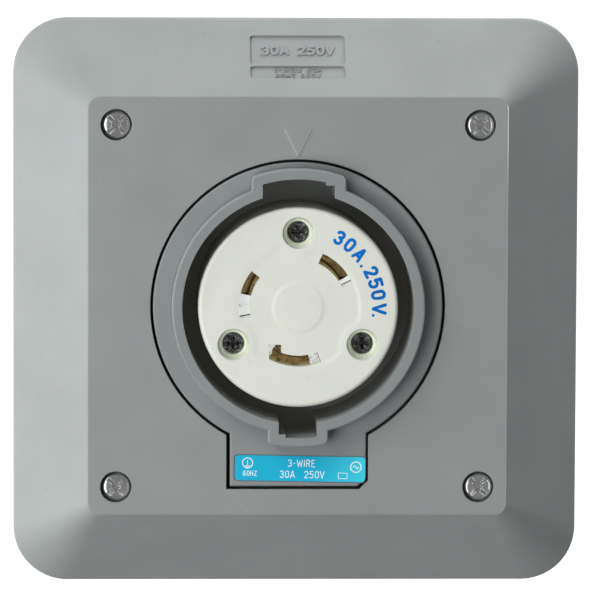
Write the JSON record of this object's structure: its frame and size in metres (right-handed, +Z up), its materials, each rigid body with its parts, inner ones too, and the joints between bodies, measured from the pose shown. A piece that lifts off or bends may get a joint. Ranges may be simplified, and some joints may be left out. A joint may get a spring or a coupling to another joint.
{
  "type": "locking power receptacle in a shrouded wall box",
  "caption": "Square bevelled cover on a wall box, with a keyed collar round a white locking receptacle that has curved blade slots.",
  "frame": {"origin": "centre of the box's back face, which lies against the wall", "axes": "+Y into the wall, so the front faces -Y; +Z up; +X to the right of someone facing the front"},
  "size_m": [0.1396, 0.0715, 0.1396],
  "materials": {
    "box_grey": "moulded",
    "cover_grey": "satin",
    "shroud_grey": "satin",
    "seal_black": "soft",
    "label_blue": "printed",
    "face_white": "satin",
    "base_black": "moulded",
    "brass": "stamped",
    "nickel": "plated",
    "green_screw": "dyed",
    "spring_steel": "plain",
    "zinc_steel": "zinc",
    "dark_screw": "black",
    "screw_steel": "bright",
    "retainer_nylon": "plain"
  },
  "bodies": {
    "wall_box": {"back_box": "box_grey", "box_inserts": "brass", "box_gasket": "seal_black"},
    "cover_assembly": {"front_cover": "cover_grey", "shroud": "shroud_grey", "shroud_flange": "shroud_grey", "shroud_gasket": "seal_black", "shroud_screws": "zinc_steel", "rating_label": "label_blue", "receptacle_face": "face_white", "face_screw_top": "dark_screw", "face_screw_left": "dark_screw", "face_screw_right": "dark_screw", "receptacle_base": "base_black", "receptacle_core": "base_black", "rear_cap": "base_black", "assembly_nuts": "nickel", "mounting_strap": "zinc_steel", "strap_screws": "zinc_steel", "contact_left": "brass", "contact_right": "brass", "contact_ground": "brass", "contact_clip_left": "spring_steel", "contact_clip_right": "spring_steel", "contact_clip_ground": "spring_steel"},
    "retainer_top_left": {"screw_retainer_top_left": "retainer_nylon"},
    "screw_top_left": {"cover_screw_top_left": "screw_steel"},
    "retainer_top_right": {"screw_retainer_top_right": "retainer_nylon"},
    "screw_top_right": {"cover_screw_top_right": "screw_steel"},
    "retainer_bottom_left": {"screw_retainer_bottom_left": "retainer_nylon"},
    "screw_bottom_left": {"cover_screw_bottom_left": "screw_steel"},
    "retainer_bottom_right": {"screw_retainer_bottom_right": "retainer_nylon"},
    "screw_bottom_right": {"cover_screw_bottom_right": "screw_steel"},
    "clamp_right": {"terminal_clamp_right": "zinc_steel"},
    "terminal_right": {"terminal_screw_right": "brass"},
    "clamp_left": {"terminal_clamp_left": "zinc_steel"},
    "terminal_left": {"terminal_screw_left": "nickel"},
    "clamp_ground": {"terminal_clamp_ground": "zinc_steel"},
    "terminal_ground": {"terminal_screw_ground": "green_screw"}
  },
  "joints": [
    {"name": "cover_removal", "type": "slide", "parent": "wall_box", "child": "cover_assembly", "axis": [0, -1, 0], "range_m": [0, 0.06]},
    {"name": "screw_travel_top_left", "type": "slide", "parent": "cover_assembly", "child": "retainer_top_left", "axis": [0, -1, 0], "range_m": [0, 0.00794]},
    {"name": "screw_turn_top_left", "type": "hinge", "parent": "retainer_top_left", "child": "screw_top_left", "pos_m": [-0.04445, -0.05, 0.04445], "axis": [0, -1, 0], "range_deg": [0, 3605]},
    {"name": "screw_travel_top_right", "type": "slide", "parent": "cover_assembly", "child": "retainer_top_right", "axis": [0, -1, 0], "range_m": [0, 0.00794]},
    {"name": "screw_turn_top_right", "type": "hinge", "parent": "retainer_top_right", "child": "screw_top_right", "pos_m": [0.04445, -0.05, 0.04445], "axis": [0, -1, 0], "range_deg": [0, 3605]},
    {"name": "screw_travel_bottom_left", "type": "slide", "parent": "cover_assembly", "child": "retainer_bottom_left", "axis": [0, -1, 0], "range_m": [0, 0.00794]},
    {"name": "screw_turn_bottom_left", "type": "hinge", "parent": "retainer_bottom_left", "child": "screw_bottom_left", "pos_m": [-0.04445, -0.05, -0.04445], "axis": [0, -1, 0], "range_deg": [0, 3605]},
    {"name": "screw_travel_bottom_right", "type": "slide", "parent": "cover_assembly", "child": "retainer_bottom_right", "axis": [0, -1, 0], "range_m": [0, 0.00794]},
    {"name": "screw_turn_bottom_right", "type": "hinge", "parent": "retainer_bottom_right", "child": "screw_bottom_right", "pos_m": [0.04445, -0.05, -0.04445], "axis": [0, -1, 0], "range_deg": [0, 3605]},
    {"name": "clamp_travel_right", "type": "slide", "parent": "cover_assembly", "child": "clamp_right", "axis": [0.6972, 0, 0.7169], "range_m": [0, 0.00357]},
    {"name": "terminal_turn_right", "type": "hinge", "parent": "cover_assembly", "child": "terminal_right", "pos_m": [0.01394, -0.029, 0.01434], "axis": [-0.6972, 0, -0.7169], "range_deg": [0, 1625]},
    {"name": "clamp_travel_left", "type": "slide", "parent": "cover_assembly", "child": "clamp_left", "axis": [-0.9711, 0, 0.2385], "range_m": [0, 0.00357]},
    {"name": "terminal_turn_left", "type": "hinge", "parent": "cover_assembly", "child": "terminal_left", "pos_m": [-0.01942, -0.029, 0.00477], "axis": [0.9711, 0, -0.2385], "range_deg": [0, 1625]},
    {"name": "clamp_travel_ground", "type": "slide", "parent": "cover_assembly", "child": "clamp_ground", "axis": [-0.0698, 0, -0.9976], "range_m": [0, 0.00357]},
    {"name": "terminal_turn_ground", "type": "hinge", "parent": "cover_assembly", "child": "terminal_ground", "pos_m": [-0.00139, -0.029, -0.01995], "axis": [0.0698, 0, 0.9976], "range_deg": [0, 1625]}
  ],
  "couplings": [
    {"joint": "screw_turn_top_left", "follows": "screw_travel_top_left", "rad_per_m": 7913.3},
    {"joint": "screw_turn_top_right", "follows": "screw_travel_top_right", "rad_per_m": 7913.3},
    {"joint": "screw_turn_bottom_left", "follows": "screw_travel_bottom_left", "rad_per_m": 7913.3},
    {"joint": "screw_turn_bottom_right", "follows": "screw_travel_bottom_right", "rad_per_m": 7913.3},
    {"joint": "terminal_turn_right", "follows": "clamp_travel_right", "rad_per_m": 7913.3},
    {"joint": "terminal_turn_left", "follows": "clamp_travel_left", "rad_per_m": 7913.3},
    {"joint": "terminal_turn_ground", "follows": "clamp_travel_ground", "rad_per_m": 7913.3}
  ]
}
